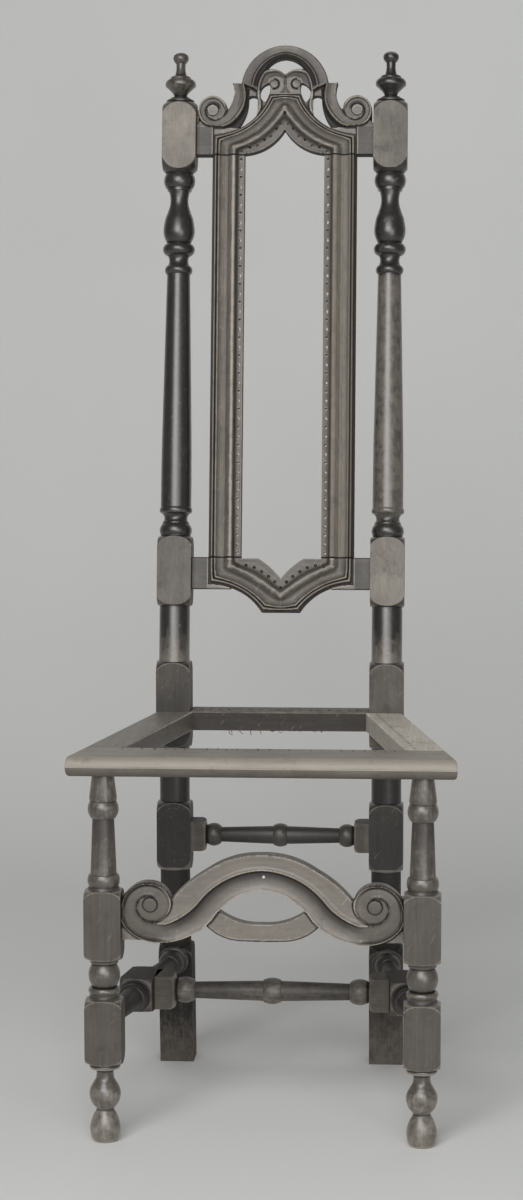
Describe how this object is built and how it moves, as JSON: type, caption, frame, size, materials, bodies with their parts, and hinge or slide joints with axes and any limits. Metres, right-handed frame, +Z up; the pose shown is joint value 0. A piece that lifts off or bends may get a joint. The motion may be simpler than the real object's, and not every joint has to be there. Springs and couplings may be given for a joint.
{
  "type": "tall-back side chair",
  "caption": "Tall-back wooden side chair with turned posts, carved crest and front stretcher, open seat and back frames",
  "frame": {"origin": "on the floor, under the middle of the whole chair's bounding box", "axes": "+X to the right as seen from the front, +Y from front to back, +Z up; the front faces -Y"},
  "size_m": [0.4658, 0.542, 1.3478],
  "materials": {
    "dark_wood": "old dark polish, worn lighter on its edges and faces",
    "peg_wood": "end grain, darkened with age",
    "nail_metal": "small worn nail head"
  },
  "bodies": {
    "root": {"back_post_left": "dark_wood", "back_post_right": "dark_wood", "front_leg_left": "dark_wood", "front_leg_right": "dark_wood", "back_stile_left": "dark_wood", "back_stile_right": "dark_wood", "side_seat_rail_left": "dark_wood", "side_seat_rail_right": "dark_wood", "side_stretcher_left": "dark_wood", "side_stretcher_right": "dark_wood", "crest_rail": "dark_wood", "lower_back_rail": "dark_wood", "front_seat_rail": "dark_wood", "rear_seat_rail": "dark_wood", "front_stretcher": "dark_wood", "medial_stretcher": "dark_wood", "rear_stretcher": "dark_wood", "crest_pegs": "peg_wood", "lower_back_rail_pegs": "peg_wood", "rear_seat_rail_pegs": "peg_wood", "side_seat_rail_pegs": "peg_wood", "front_seat_rail_pegs": "peg_wood", "front_stretcher_pegs": "peg_wood", "side_stretcher_pegs": "peg_wood", "rear_stretcher_pegs": "peg_wood", "stretcher_nail": "nail_metal"}
  },
  "joints": []
}
